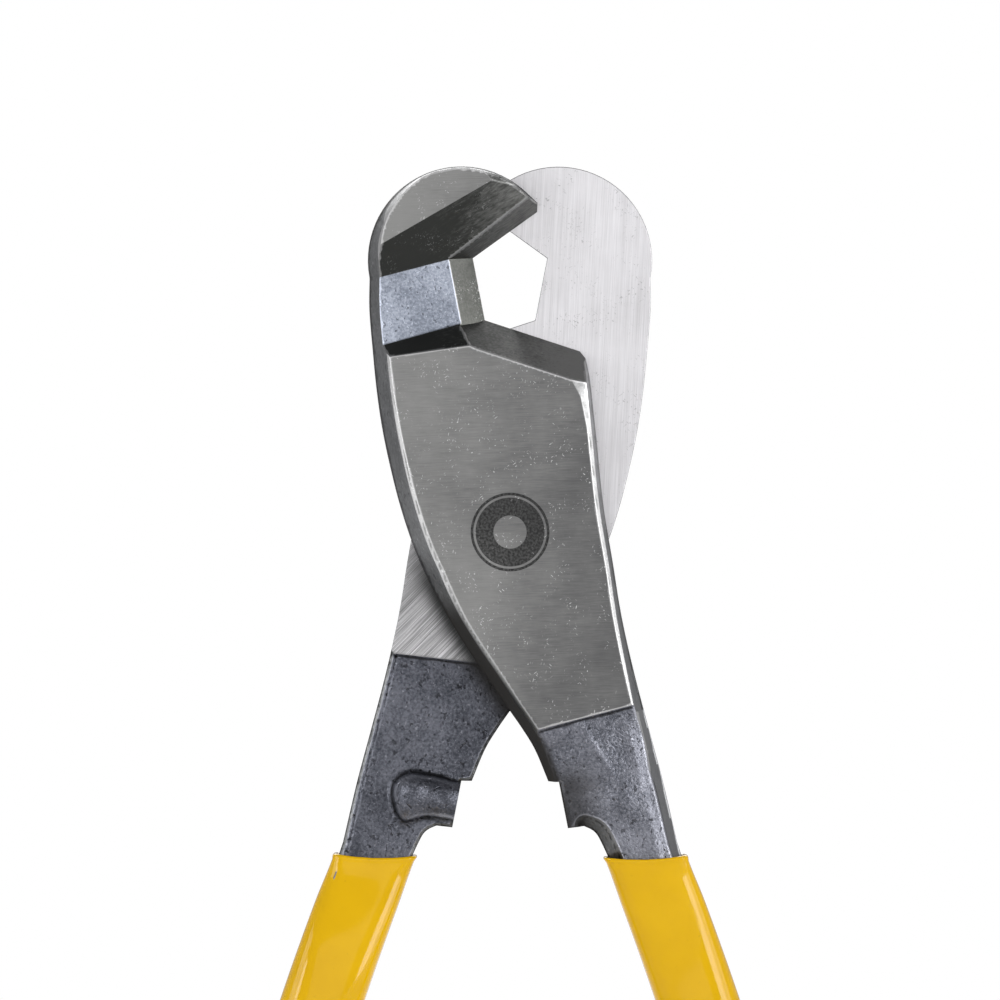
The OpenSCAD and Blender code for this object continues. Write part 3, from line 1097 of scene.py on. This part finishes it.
class Paint:
    """A material that is being made, with its one shader."""

    def __init__(self, name: str) -> None:
        """Starts a material with a Principled shader.

        Args:
            name: The material's name.
        """
        self.material = bpy.data.materials.new(name)
        self.material.use_nodes = True
        self.tree = self.material.node_tree
        self.tree.nodes.clear()
        self.shader = self.node("ShaderNodeBsdfPrincipled", {}, {})
        output = self.node("ShaderNodeOutputMaterial", {}, {})
        self.tree.links.new(self.shader.outputs["BSDF"], output.inputs["Surface"])

    def node(self, kind: str, settings: dict[str, object], feeds: dict[str | int, Feed]) -> bpy.types.Node:
        """Adds a node.

        Args:
            kind: The node's type.
            settings: Its own settings, which are set first.
            feeds: A value or a link for each socket that isn't left alone.

        Returns:
            The node.
        """
        made = self.tree.nodes.new(kind)
        for key, value in settings.items():
            setattr(made, key, value)
        for key, value in feeds.items():
            self.feed(made, key, value)
        return made

    def math(self, operation: str, *values: "Signal | float") -> Signal:
        """Adds a Math node on the given values."""
        made = self.node("ShaderNodeMath", {"operation": operation}, dict(enumerate(values)))
        return Signal(self, made.outputs[0])

    def place(self, turn: float, stretch: Triple) -> Socket:
        """Gives coordinates on the piece for a pattern.

        Args:
            turn: How far the pattern is turned about the pivot's axis, in degrees.
            stretch: How often it repeats in a metre along x, y and z.

        Returns:
            The vector.
        """
        where = self.node("ShaderNodeTexCoord", {}, {})
        turned = self.node("ShaderNodeVectorRotate", {"rotation_type": "Y_AXIS"},
                           {"Vector": where.outputs["Object"], "Angle": math.radians(turn)})
        scaled = self.node("ShaderNodeVectorMath", {"operation": "MULTIPLY"},
                           {0: turned.outputs[0], 1: stretch})
        return scaled.outputs[0]

    def grain(self, often: float, detail: float = 2.0, rough: float = 0.5, turn: float = 0) -> Signal:
        """Adds even noise that repeats so often in a metre."""
        return self.noise(self.place(turn, (often, often, often)), detail, rough)

    def spot(self) -> tuple[Signal, Signal, Signal]:
        """Finds where on the piece a point lies.

        Returns:
            x, z and the distance from the pivot's axis, all in millimetres.
        """
        where = self.node("ShaderNodeTexCoord", {}, {})
        parts = self.node("ShaderNodeSeparateXYZ", {}, {"Vector": where.outputs["Object"]})
        x, z = (Signal(self, parts.outputs[axis]) * (1 / MM) for axis in "XZ")
        return x, z, self.math("SQRT", x * x + z * z)

    def noise(self, at: Socket, detail: float = 2.0, rough: float = 0.5) -> Signal:
        """Adds noise.

        Args:
            at: The coordinates.
            detail: How many finer layers it has.
            rough: How strong they are.

        Returns:
            A value from 0 to 1.
        """
        made = self.node("ShaderNodeTexNoise", {},
                         {"Vector": at, "Scale": 1.0, "Detail": detail, "Roughness": rough})
        return Signal(self, made.outputs["Fac"])

    def attribute(self, name: str) -> Signal:
        """Reads a number stored on the mesh."""
        made = self.node("ShaderNodeAttribute", {"attribute_name": name}, {})
        return Signal(self, made.outputs["Fac"])

    def mix(self, share: Signal, low: Feed, high: Feed) -> Socket:
        """Mixes two colours by a share from 0 to 1."""
        made = self.node("ShaderNodeMix", {"data_type": "RGBA"}, {"Factor": share, 6: low, 7: high})
        return made.outputs[2]

    def bump(self, height: Signal, depth: float) -> Socket:
        """Turns a height from 0 to 1 into a normal, for a depth in millimetres."""
        made = self.node("ShaderNodeBump", {}, {"Height": height, "Distance": depth * MM, "Strength": 1.0})
        return made.outputs["Normal"]

    def feed(self, node: bpy.types.Node, key: str | int, value: Feed) -> None:
        """Sets a node's socket to a value or links it.

        Args:
            node: The node.
            key: Its input's name or number.
            value: What the input takes.
        """
        source = value.socket if isinstance(value, Signal) else value
        if isinstance(source, Socket):
            self.tree.links.new(source, node.inputs[key])
        else:
            node.inputs[key].default_value = source

    def finish(self, **sockets: Feed) -> Material:
        """Sets the shader's sockets.

        Args:
            sockets: What each takes. A name has _ for a space.

        Returns:
            The material.
        """
        for key, value in sockets.items():
            self.feed(self.shader, key.replace("_", " "), value)
        return self.material


def rgba(colour: Triple) -> tuple[float, float, float, float]:
    """Adds a full alpha to a colour."""
    return (*colour, 1.0)


@dataclass(frozen=True)
class GroundSteel:
    """Steel with the fine parallel lines of a grinding wheel, nicks and scratches, and rubbed edges.

    The lines lie at turn, or at low_turn below the pivot, and repeat along and across them so often in a
    metre. The shares of lines and cloud say how far each shows, and lean how far a painted gradient of
    light shifts the colour along x.
    """

    name: str
    dark: Triple
    light: Triple
    turn: float = 0.0
    low_turn: float | None = None
    along: float = 260.0
    across: float = 6000.0
    lines: float = 0.9
    cloud: float = 0.5
    lean: float = 0.0
    rough: float = 0.36
    depth: float = 0.006
    nicks: float = 0.6
    nick: Triple = (0.7, 0.7, 0.7)
    mark: bool = False

    def material(self) -> Material:
        """Makes the material.

        Returns:
            The material.
        """
        paint = Paint(self.name)
        x, z, _ = paint.spot()
        lines = self.wheel(paint, self.turn)
        if self.low_turn is not None:
            upper = z.ramp(-4.0, 3.0)
            lines = lines * upper + self.wheel(paint, self.low_turn) * (1 - upper)
        cloud = paint.grain(130.0, 4, 0.6)
        broad = paint.grain(38.0, 1)
        nick = self.scratches(paint) * self.nicks
        rubbed = paint.attribute("wear_and_crevice_shade").ramp(0.15, 0.7)
        # lean adds a painted gradient of light along x
        share = ((lines - 0.5) * self.lines + (cloud - 0.5) * self.cloud + (broad - 0.5) * self.cloud
                 + x * (self.lean * 0.01) + 0.5)
        colour = paint.mix(share.ramp(0.0, 1.0), rgba(self.dark), rgba(self.light))
        # painted shade: below the pivot the colour is darkened towards the nick colour in streaks along the
        # crossing lines
        if self.low_turn is not None:
            dull = (1 - upper) * ((lines - 0.5) * -2.6 + 0.6)
            colour = paint.mix(dull.ramp(0, 1), colour, rgba(self.nick))
        colour = paint.mix((nick + rubbed * 0.5).ramp(0, 1), colour, rgba(self.nick))
        # painted shade and painted shadow: darkened towards near black where the stored share is high
        colour = paint.mix(paint.attribute("painted_shade"), colour, rgba((0.02, 0.021, 0.02)))
        rough = (cloud - 0.5) * 0.14 + (lines - 0.5) * 0.1 + self.rough
        height = lines * 0.7 + cloud * 0.3 - nick * 0.6
        if self.mark:
            ring = self.etched(paint)
            colour = paint.mix(ring, colour, rgba((0.02, 0.02, 0.02)))
            rough = rough + ring * 0.22
            height = height - ring * 0.8
        return paint.finish(Base_Color=colour, Metallic=1.0, Roughness=rough,
                            Normal=paint.bump(height, self.depth))

    def wheel(self, paint: Paint, turn: float) -> Signal:
        """Gives the grinding lines along one direction, fine ones over a few broader ones.

        Args:
            paint: The material's nodes.
            turn: The lines' direction in degrees.

        Returns:
            A value from 0 to 1.
        """
        fine = paint.noise(paint.place(turn, (self.along, self.across, self.across)), 3, 0.65)
        broad = paint.noise(paint.place(turn, (self.along * 0.6, self.across / 5, self.across / 5)), 2)
        return fine * 0.75 + broad * 0.25

    @staticmethod
    def scratches(paint: Paint) -> Signal:
        """Gives small nicks and short thin scratches that lie in several directions.

        Args:
            paint: The material's nodes.

        Returns:
            1 on a mark and 0 beside it.
        """
        patch = paint.grain(240.0, 2, turn=10).ramp(0.4, 0.62)
        found = paint.grain(2600.0, 1, turn=25).ramp(0.66, 0.76)
        for turn in (35.0, 78.0, 140.0):
            thin = paint.noise(paint.place(turn, (1100.0, 7000.0, 7000.0)), 0).ramp(0.74, 0.82)
            found = paint.math("MAXIMUM", found, thin)
        return found * patch

    @staticmethod
    def etched(paint: Paint) -> Signal:
        """Gives how deeply a plain etched roundel about the pivot has darkened the face.

        Args:
            paint: The material's nodes.

        Returns:
            A value from 0 to 1.
        """
        _, _, radius = paint.spot()
        soft, hole_r, disc_r, ring_r, ring_half_w = 0.07, 2.6, 5.45, 6.05, 0.18
        rim = 1 - (abs(radius - ring_r) - ring_half_w).ramp(0, soft)
        disc = (1 - radius.ramp(disc_r, disc_r + soft)) * (radius - hole_r).ramp(0, soft)
        grain = paint.grain(2600.0, 2).ramp(0.3, 0.7) * 0.3 + 0.7
        return (rim * 0.95 + disc * 0.92) * grain


@dataclass(frozen=True)
class ForgedSkin:
    """The black scale of a forging: a fine orange-peel grain, pits and glints, bright where rubbed, with
    painted shade in its corners.
    """

    name: str
    dark: Triple
    light: Triple
    rough: float = 0.32
    grain: float = 2200.0
    depth: float = 0.26
    metallic: float = 0.85
    rub: float = 0.5

    def material(self) -> Material:
        """Makes the material.

        Returns:
            The material.
        """
        paint = Paint(self.name)
        peel = paint.grain(self.grain, 3, 0.65)
        lumps = paint.grain(self.grain / 5, 2)
        cloud = paint.grain(150.0, 3)
        pits = paint.grain(self.grain * 0.6, 1, turn=40).ramp(0.64, 0.74)
        glints = paint.grain(self.grain * 0.9, 1, turn=70).ramp(0.66, 0.74)
        edge = paint.attribute("wear_and_crevice_shade")
        share = (peel - 0.5) * 1.5 + (cloud - 0.5) * 0.9 + (lumps - 0.5) * 0.4 + 0.5
        colour = paint.mix(share.ramp(0.05, 0.95), rgba(self.dark), rgba(self.light))
        shine = edge.ramp(0.1, 0.9) * self.rub + glints * 0.35
        colour = paint.mix(shine.ramp(0, 1), colour, rgba(tuple(2.0 * c + 0.1 for c in self.light)))
        # painted shade: corners and creases darkened towards black, over the real pits
        black = (0 - edge).ramp(0.1, 0.8) * 0.7 + pits * 0.5
        colour = paint.mix(black.ramp(0, 1), colour, rgba((0.012, 0.012, 0.012)))
        # painted shade: darkened towards near black where the stored share is high
        colour = paint.mix(paint.attribute("painted_shade"), colour, rgba((0.024, 0.023, 0.022)))
        height = peel * 0.7 + lumps * 0.3 - pits * 0.5
        # the painted shade is also made less metallic and rougher
        outside_painted_shade = 1 - paint.attribute("painted_shade")
        dull = 0.3
        return paint.finish(Base_Color=colour, Metallic=outside_painted_shade * self.metallic,
                            Roughness=(cloud - 0.5) * 0.2 - outside_painted_shade * dull + (self.rough + dull),
                            Specular_IOR_Level=0.0, Normal=paint.bump(height, self.depth))


@dataclass(frozen=True)
class DippedVinyl:
    """Glossy dipped vinyl with faint flow ripples and a little grime."""

    name: str
    colour: Triple
    deep: Triple

    def material(self) -> Material:
        """Makes the material.

        Returns:
            The material.
        """
        paint = Paint(self.name)
        flow = paint.noise(paint.place(0, (70.0, 70.0, 28.0)), 2)
        cloud = paint.grain(240.0, 3)
        fine = paint.grain(3200.0, 2)
        grime = paint.grain(900.0, 2, turn=30).ramp(0.68, 0.78) * 0.25
        colour = paint.mix((flow * 0.6 + cloud * 0.4).ramp(0.3, 0.7), rgba(self.deep), rgba(self.colour))
        colour = paint.mix(grime, colour, rgba((0.30, 0.18, 0.004)))
        return paint.finish(Base_Color=colour, Roughness=(cloud - 0.5) * 0.06 + (fine - 0.5) * 0.03 + 0.09,
                            IOR=1.45, Specular_IOR_Level=0.3,
                            Normal=paint.bump(flow * 0.9 + fine * 0.02, 0.12))


@dataclass(frozen=True)
class TurnedSteel:
    """Small turned and plated pieces: rings of the lathe tool about the pivot and a little discolouring."""

    name: str
    dark: Triple
    light: Triple
    rough: float = 0.3
    metallic: float = 1.0

    def material(self) -> Material:
        """Makes the material.

        Returns:
            The material.
        """
        paint = Paint(self.name)
        _, _, radius = paint.spot()
        rings = paint.math("SINE", radius * 26.0) * 0.5 + 0.5
        cloud = paint.grain(420.0, 3)
        colour = paint.mix((cloud * 0.8 + rings * 0.2).ramp(0.25, 0.75), rgba(self.dark), rgba(self.light))
        return paint.finish(Base_Color=colour, Metallic=self.metallic,
                            Roughness=(cloud - 0.5) * 0.16 + self.rough,
                            Normal=paint.bump(rings * 0.5 + cloud * 0.5, 0.008))


FRONT_SCALE = (0.07, 0.074, 0.088), (0.215, 0.22, 0.25)
BACK_SCALE = (0.045, 0.048, 0.058), (0.145, 0.15, 0.175)


# ---------------------------------------------------------------- grips, pivot and studio


@dataclass
class Grip:
    """One dipped grip: a rolled lip at its slanted mouth, a swell to the full section and a rounded end.

    Its section is a rounded box whose corners grow rounder from square, the power at the mouth.
    """

    half: Forging
    width: float = 13.0
    thickness: float = 12.0
    lip_t: float = 0.8
    waist: float = 0.16
    swell: float = 40.0
    end_round: float = 4.5
    slant: float = 9.4
    sag: float = 0.55
    square: float = 6.0
    lip: float = 0.34
    around: int = 64

    def ring(self, along: float, inset: float) -> Array:
        """Draws the section at a distance along the grip.

        Args:
            along: Distance from the mouth.
            inset: How far the section is drawn in.

        Returns:
            The section's points.
        """
        half = self.half
        lean = half.grip_lean - along * half.arc_deg
        r = math.radians(lean)
        centre = np.array(half.bow_c) + half.bow_r * np.array([math.cos(r), math.sin(r)])
        y = centre[1:]
        grown = ease_at(along, 0, self.swell)
        tang_w, tang_t = half.neck_w / 2, float(half.handle_half_t(y)[0])
        w = (tang_w + self.lip_t) * (1 - grown) + self.width / 2 * grown - inset
        t = (tang_t + self.lip_t) * (1 - grown) + self.thickness / 2 * grown - inset
        square = self.square - 2.5 * ease_at(along, 0.6, 3.5) - 0.7 * ease_at(along, 8, 30)
        turn = ease_at(along, 0, half.set_len)
        skew = math.radians(-(half.grip_lean + self.slant) * (1 - turn))
        across = np.array([math.cos(r + skew), math.sin(r + skew)]) / math.cos(skew)
        down = np.array([math.sin(r), -math.cos(r)])
        a = np.linspace(0, 2 * math.pi, self.around, endpoint=False)
        power = 2 / square
        u = w * np.sign(np.cos(a)) * np.abs(np.cos(a)) ** power
        v = t * np.sign(np.sin(a)) * np.abs(np.sin(a)) ** power
        dip = self.sag * (1 - (u / w) ** 2) * (1 - turn)
        plan = centre + u[:, None] * across + dip[:, None] * down
        return np.column_stack([plan, float(half.handle_mid(y)[0]) + v])

    def build(self, name: str, place: Matrix, material: Material) -> bpy.types.Object:
        """Builds the grip as one closed mesh, open in the middle for the tang.

        Args:
            name: The piece's name.
            place: Takes the closed tool's millimetres to the frame.
            material: What it is dipped in.

        Returns:
            The piece.
        """
        half = self.half
        length = (half.grip_lean + half.end_lean) / half.arc_deg
        straight = length - self.end_round
        rings = [self.ring(6.0, 1.6), self.ring(0.5, self.lip_t + 0.12)]
        for q in (170, 130, 90, 50, 10):
            back, inset = 1 - math.sin(math.radians(q)), 1 - math.cos(math.radians(q))
            rings.append(self.ring(self.lip * back, self.lip * inset))
        run = np.concatenate([np.linspace(self.lip + 0.1, 3.0, 9), np.linspace(4.0, straight, 68)])
        waist = self.waist * ease(run, self.lip, 1.1) * (1 - ease(run, 1.6, 9.0))
        rings += [self.ring(d, w) for d, w in zip(run, waist)]
        rings += [self.ring(straight + self.end_round * math.sin(q), self.end_round * (1 - math.cos(q)))
                  for q in np.radians(np.linspace(9, 84, 9))]
        n, m = self.around, len(rings)
        faces = [(j * n + i, j * n + (i + 1) % n, (j + 1) * n + (i + 1) % n, (j + 1) * n + i)
                 for j in range(m - 1) for i in range(n)]
        faces += [tuple(range(n))[::-1], tuple((m - 1) * n + i for i in range(n))]
        piece = solid(name, np.vstack(rings), faces, place)
        piece.data.materials.append(material)
        piece.data.shade_smooth()
        return piece


@dataclass
class Cutter:
    """The whole tool: which half stands where, and what each piece wears."""

    rest_open: float = 11.0

    def place(self, side: int) -> Matrix:
        """Opens a half by its share and stands the tool up, as the frame has it.

        Args:
            side: 1 for the front half and -1 for the back half, which is turned over.

        Returns:
            The matrix from the closed tool's millimetres to the frame's metres.
        """
        turned = Matrix.Rotation(math.pi, 4, "Y") if side < 0 else Matrix.Identity(4)
        opened = Matrix.Rotation(math.radians(side * self.rest_open), 4, "Z")
        stood = Matrix.Translation((0, Forging.head_t, 0)) @ Matrix.Rotation(math.pi / 2, 4, "X")
        return Matrix.Scale(MM, 4) @ stood @ opened @ turned

    def skins(self, side: int) -> dict[Skin, Material]:
        """Makes the finishes of one half, whose grinding lines turn with it.

        Args:
            side: 1 for the front half and -1 for the back half.

        Returns:
            The material of each skin.
        """
        tag = "front" if side > 0 else "back"
        lean = side * self.rest_open
        scale = FRONT_SCALE if side > 0 else BACK_SCALE

        def steel(name: str, dark: Triple, light: Triple, turn: float, **more: object) -> Material:
            """Makes a ground finish of this half."""
            return GroundSteel(f"{name}_{tag}", dark, light, turn, **more).material()

        def forged(name: str, dark: Triple, light: Triple, **more: float) -> Material:
            """Makes a forged finish of this half."""
            return ForgedSkin(f"{name}_{tag}", dark, light, **more).material()

        return {
            # painted shade: the ground face's dark colour stands in for the side light that its level
            # grinding lines don't catch, and its lean paints one side lighter
            Skin.GROUND: steel("ground_face", (0.105, 0.105, 0.106), (0.252, 0.252, 0.246), lean - 9,
                               cloud=0.7, nicks=0.75, lean=-1.6 * side, mark=side > 0),
            Skin.BEVEL: steel("ground_bevel", (0.17, 0.17, 0.17), (0.34, 0.34, 0.34), lean + 10,
                              along=1500.0, across=2600.0, lines=1.6, rough=0.44, depth=0.03, nicks=0.5),
            # lean paints the hook's tip lighter, a painted gradient of light
            Skin.CUT: steel("cut_bevel", (0.035, 0.036, 0.034), (0.20, 0.201, 0.194), lean + 20,
                            along=700.0, across=2600.0, lines=1.3, lean=4.5 * side, rough=0.5,
                            depth=0.02, nicks=0.35, nick=(0.4, 0.4, 0.4)),
            Skin.LAND: steel("mouth_land", (0.11, 0.114, 0.104), (0.21, 0.214, 0.2), lean - 9,
                             along=500.0, across=2600.0, lines=1.4, rough=0.42, depth=0.015),
            Skin.BLASTED: forged("blasted", (0.17, 0.19, 0.23), (0.40, 0.43, 0.50), rough=0.45,
                                 grain=2600.0, depth=0.06),
            Skin.FORGED: forged("forged", *scale),
            Skin.DRAFT: forged("drafted", (0.085, 0.088, 0.09), (0.165, 0.168, 0.172), rough=0.4,
                               grain=1500.0, depth=0.03, rub=0.2),
            # painted light: the shear face's bright colour stands in for the side lights that its upright
            # grinding lines reflect
            Skin.SHEAR: steel("shear_face", (0.50, 0.49, 0.50), (0.86, 0.85, 0.87), 87,
                              low_turn=-45 * side, along=70.0, across=6200.0, lines=1.0, cloud=0.35,
                              rough=0.42, depth=0.008, nicks=0.5, nick=(0.22, 0.22, 0.22)),
            Skin.FLASH: steel("trimmed_edge", (0.15, 0.152, 0.155), (0.26, 0.263, 0.27), lean + 10,
                              along=900.0, across=2600.0, rough=0.45, depth=0.012, nicks=0.3),
        }

    def build(self) -> None:
        """Builds the halves and the grips and sets each on its body, then gives the pivot's pieces their
        finishes.
        """
        vinyl = DippedVinyl("yellow_vinyl", (0.58, 0.338, 0.0), (0.535, 0.306, 0.0)).material()
        bores = {1: {"blind_bore": 10.0}, -1: {"stud_bore": 12.1, "counterbore": 19.0}}
        for side, body in ((1, "front"), (-1, "back")):
            half = Forging(**bores[side])
            place = self.place(side)
            made = {"half": half.build(f"{body}_half_forging", place, self.skins(side)),
                    "grip": Grip(half).build(f"{body}_grip_sleeve", place, vinyl)}
            for part, piece in made.items():
                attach(piece, body)
                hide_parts(f"{body}_{part}")
                log.info("%s rides on %s", piece.name, body)
        self.dress_pivot()

    def dress_pivot(self) -> None:
        """Gives the pivot's own pieces their finishes."""
        finishes = {
            "pivot_stud": TurnedSteel("black_oxide", (0.03, 0.03, 0.034), (0.07, 0.07, 0.075), 0.38),
            "thrust_washer": TurnedSteel("hardened_washer", (0.36, 0.36, 0.35), (0.55, 0.55, 0.53)),
            "disc_spring": TurnedSteel("spring_steel", (0.17, 0.15, 0.13), (0.30, 0.27, 0.23)),
            "lock_nut": TurnedSteel("zinc_plate", (0.46, 0.47, 0.50), (0.66, 0.67, 0.70), 0.26),
            "nut_insert": TurnedSteel("nylon", (0.02, 0.08, 0.34), (0.03, 0.12, 0.45), 0.45, 0.0),
        }
        for node, finish in finishes.items():
            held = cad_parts[node].data.materials
            held.clear()
            held.append(finish.material())
            log.info("%s wears %s", node, finish.name)


@dataclass
class Studio:
    """A pale floor, a wide and a narrow soft light at each side, one in front and one behind."""

    floor_r: float = 1.1
    stand_off: float = 1.5
    view_w: float = 0.16
    aim: Triple = (-0.0016, 0.009, 0.0051)

    def build(self) -> None:
        """Builds the floor, the lights, the backdrop colour and the camera."""
        self.floor()
        self.lights()
        self.surround()
        self.camera()

    def floor(self) -> None:
        """Lays the floor just under the object."""
        low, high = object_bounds()
        centre, count, z = (low + high) / 2, 96, low.z - 0.0002
        ring = [(centre.x + self.floor_r * math.cos(a), centre.y + self.floor_r * math.sin(a), z)
                for a in np.linspace(0, 2 * math.pi, count, endpoint=False)]
        mesh = bpy.data.meshes.new("floor")
        mesh.from_pydata(ring, [], [tuple(range(count))])
        paint = Paint("pale_floor")
        cloud = paint.grain(6.0, 3)
        mesh.materials.append(paint.finish(
            Base_Color=paint.mix(cloud.ramp(0.3, 0.7), rgba((0.78, 0.78, 0.78)), rgba((0.82, 0.82, 0.82))),
            Roughness=0.7))
        floor = bpy.data.objects.new("floor", mesh)
        bpy.context.scene.collection.objects.link(floor)
        floor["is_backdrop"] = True

    def light(self, name: str, spot: Triple, size: Pair, power: float) -> None:
        """Hangs a soft light that faces the tool.

        Args:
            name: The light's name.
            spot: Where it hangs.
            size: Its width and height.
            power: Its strength in watts.
        """
        lamp = bpy.data.lights.new(name, "AREA")
        lamp.shape, lamp.size, lamp.size_y, lamp.energy = "RECTANGLE", *size, power
        hung = bpy.data.objects.new(name, lamp)
        hung.location = spot
        hung.rotation_euler = (Vector(self.aim) - Vector(spot)).to_track_quat("-Z", "Y").to_euler()
        hung.visible_camera = False
        bpy.context.scene.collection.objects.link(hung)

    def lights(self) -> None:
        """Hangs the lights."""
        for name, spot, size, power in (
            ("soft_left", (-0.9, -0.3, 0.05), (0.5, 1.0), 5),
            ("soft_right", (0.9, -0.3, 0.05), (0.5, 1.0), 5),
            ("strip_left", (-0.85, -0.7, -0.1), (0.22, 1.0), 6),
            ("strip_right", (0.85, -0.75, -0.1), (0.42, 1.0), 11),
            ("soft_front", (0.0, -1.9, 0.3), (1.2, 1.2), 4),
            ("soft_back", (0.0, 1.2, 0.7), (1.2, 0.8), 12),
        ):
            self.light(name, spot, size, power)

    def surround(self) -> None:
        """Lets the camera see white round the object, which itself is lit by a dimmer grey."""
        world = bpy.data.worlds.new("surround")
        bpy.context.scene.world = world
        world.use_nodes = True
        tree = world.node_tree
        tree.nodes.clear()
        seen, lit = tree.nodes.new("ShaderNodeBackground"), tree.nodes.new("ShaderNodeBackground")
        seen.inputs["Color"].default_value = (1.0, 1.0, 1.0, 1.0)
        lit.inputs["Color"].default_value = (0.42, 0.42, 0.43, 1.0)
        path, mixed = tree.nodes.new("ShaderNodeLightPath"), tree.nodes.new("ShaderNodeMixShader")
        output = tree.nodes.new("ShaderNodeOutputWorld")
        tree.links.new(path.outputs["Is Camera Ray"], mixed.inputs["Fac"])
        tree.links.new(lit.outputs[0], mixed.inputs[1])
        tree.links.new(seen.outputs[0], mixed.inputs[2])
        tree.links.new(mixed.outputs[0], output.inputs["Surface"])

    def camera(self) -> None:
        """Sets the camera square to the ground face, with a long lens."""
        data = bpy.data.cameras.new("camera")
        data.sensor_width = 36.0
        data.lens = data.sensor_width * self.stand_off / self.view_w
        data.clip_end = 20.0
        camera = bpy.data.objects.new("camera", data)
        camera.location = (self.aim[0], self.aim[1] - self.stand_off, self.aim[2])
        camera.rotation_euler = (math.pi / 2, 0, 0)
        bpy.context.scene.collection.objects.link(camera)
        bpy.context.scene.camera = camera
        bpy.context.scene.view_settings.view_transform = "Standard"


def main() -> None:
    """Builds the cutter and the studio round it."""
    logging.basicConfig(level=logging.INFO, format="%(message)s")
    Cutter().build()
    Studio().build()


if __name__ == "__main__":
    main()
